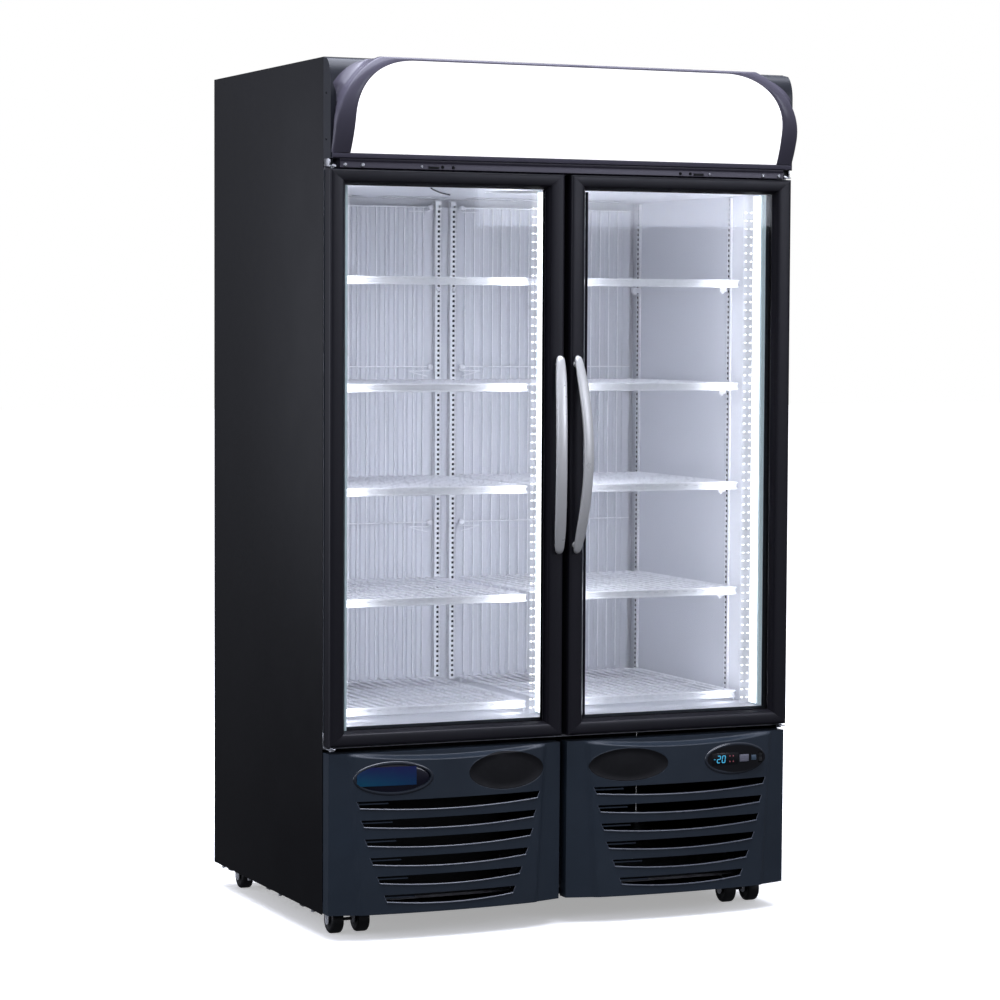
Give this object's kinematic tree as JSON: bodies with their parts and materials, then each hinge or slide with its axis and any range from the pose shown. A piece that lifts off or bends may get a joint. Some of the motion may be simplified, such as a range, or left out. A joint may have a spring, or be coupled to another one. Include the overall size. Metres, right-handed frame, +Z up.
{
  "type": "glass door merchandiser",
  "caption": "Upright glass door display freezer on low casters, with a lit sign above the doors, wire shelves inside and louvred plastic grilles below.",
  "frame": {"origin": "on the floor, in the middle of the overall width and depth", "axes": "+Z up, +X to the right of someone facing the doors, doors face -Y"},
  "size_m": [1.176, 0.8579, 2],
  "materials": {
    "side_steel": "matte powder coat",
    "liner": "satin white",
    "zinc": "bright zinc plate",
    "galvanised": "galvanised",
    "coated_wire": "white plastic coat",
    "led_lens": "lit diffuser",
    "sign_housing": "satin black",
    "gloss_bezel": "gloss black moulding",
    "sign_acrylic": "translucent white, lit from behind",
    "door_frame": "black anodised",
    "door_glass": "clear insulated glass",
    "gasket": "matte",
    "satin_handle": "satin silver",
    "grille_plastic": "fine grained charcoal blue",
    "badge": "plain blue enamel",
    "key": "grey silicone",
    "rocker": "black",
    "coil": "bare fins",
    "fan": "black",
    "compressor": "black enamel",
    "wheel": "black tread"
  },
  "bodies": {
    "cabinet": {"left_side_panel": "side_steel", "right_side_panel": "side_steel", "top_and_back_panel": "side_steel", "insulated_liner": "liner", "center_mullion": "liner", "rear_duct_panel": "liner", "evaporator_cover": "liner", "front_left_caster_bracket": "zinc", "front_right_caster_bracket": "zinc", "rear_left_caster_bracket": "zinc", "rear_right_caster_bracket": "zinc", "left_top_hinge": "zinc", "left_bottom_hinge": "zinc", "right_top_hinge": "zinc", "right_bottom_hinge": "zinc", "base_frame": "galvanised", "left_shelf_1": "coated_wire", "left_shelf_2": "coated_wire", "left_shelf_3": "coated_wire", "left_shelf_4": "coated_wire", "right_shelf_1": "coated_wire", "right_shelf_2": "coated_wire", "right_shelf_3": "coated_wire", "right_shelf_4": "coated_wire", "left_floor_rack": "coated_wire", "right_floor_rack": "coated_wire", "rear_center_standard": "coated_wire", "left_front_standard": "coated_wire", "left_rear_standard": "coated_wire", "right_front_standard": "coated_wire", "right_rear_standard": "coated_wire", "center_led_bar": "led_lens", "left_led_bar": "led_lens", "right_led_bar": "led_lens", "sign_housing": "sign_housing", "sign_bezel": "gloss_bezel", "controller_housing": "gloss_bezel", "sign_face": "sign_acrylic", "left_grille": "grille_plastic", "right_grille": "grille_plastic", "badge_plate": "badge", "evaporator_coil": "coil", "condenser_coil": "coil", "compressor": "compressor"},
    "left_door": {"left_door_frame": "door_frame", "left_door_glass": "door_glass", "left_door_gasket": "gasket", "left_door_handle": "satin_handle"},
    "right_door": {"right_door_frame": "door_frame", "right_door_glass": "door_glass", "right_door_gasket": "gasket", "right_door_handle": "satin_handle"},
    "set_key": {"set_key": "key"},
    "power_rocker": {"power_rocker": "rocker"},
    "evaporator_fan": {"evaporator_fan": "fan"},
    "condenser_fan": {"condenser_fan": "fan"},
    "front_left_wheel_pair": {"front_left_wheel_pair": "wheel"},
    "front_right_wheel_pair": {"front_right_wheel_pair": "wheel"},
    "rear_left_wheel_pair": {"rear_left_wheel_pair": "wheel"},
    "rear_right_wheel_pair": {"rear_right_wheel_pair": "wheel"}
  },
  "joints": [
    {"name": "left_door_hinge", "type": "hinge", "parent": "cabinet", "child": "left_door", "pos_m": [-0.576, -0.36, 1.1], "axis": [0, 0, -1], "range_deg": [0, 110], "stiffness_Nm_per_rad": 1.2},
    {"name": "right_door_hinge", "type": "hinge", "parent": "cabinet", "child": "right_door", "pos_m": [0.576, -0.36, 1.1], "axis": [0, 0, 1], "range_deg": [0, 110], "stiffness_Nm_per_rad": 1.2},
    {"name": "set_key_press", "type": "slide", "parent": "cabinet", "child": "set_key", "axis": [0, 1, 0], "range_m": [0, 0.001], "stiffness_N_per_m": 400},
    {"name": "power_rocker_tilt", "type": "hinge", "parent": "cabinet", "child": "power_rocker", "pos_m": [0.5045, -0.396, 0.372], "axis": [1, 0, 0], "range_deg": [-6, 6]},
    {"name": "evaporator_fan_spin", "type": "hinge", "parent": "cabinet", "child": "evaporator_fan", "pos_m": [0, -0.111, 1.76], "axis": [0, 0, 1], "continuous": true},
    {"name": "condenser_fan_spin", "type": "hinge", "parent": "cabinet", "child": "condenser_fan", "pos_m": [-0.31, -0.175, 0.24], "axis": [0, 1, 0], "continuous": true},
    {"name": "front_left_wheel_roll", "type": "hinge", "parent": "cabinet", "child": "front_left_wheel_pair", "pos_m": [-0.5, -0.261, 0.031], "axis": [1, 0, 0], "continuous": true},
    {"name": "front_right_wheel_roll", "type": "hinge", "parent": "cabinet", "child": "front_right_wheel_pair", "pos_m": [0.52, -0.261, 0.031], "axis": [1, 0, 0], "continuous": true},
    {"name": "rear_left_wheel_roll", "type": "hinge", "parent": "cabinet", "child": "rear_left_wheel_pair", "pos_m": [-0.5, 0.363, 0.031], "axis": [1, 0, 0], "continuous": true},
    {"name": "rear_right_wheel_roll", "type": "hinge", "parent": "cabinet", "child": "rear_right_wheel_pair", "pos_m": [0.52, 0.363, 0.031], "axis": [1, 0, 0], "continuous": true}
  ]
}
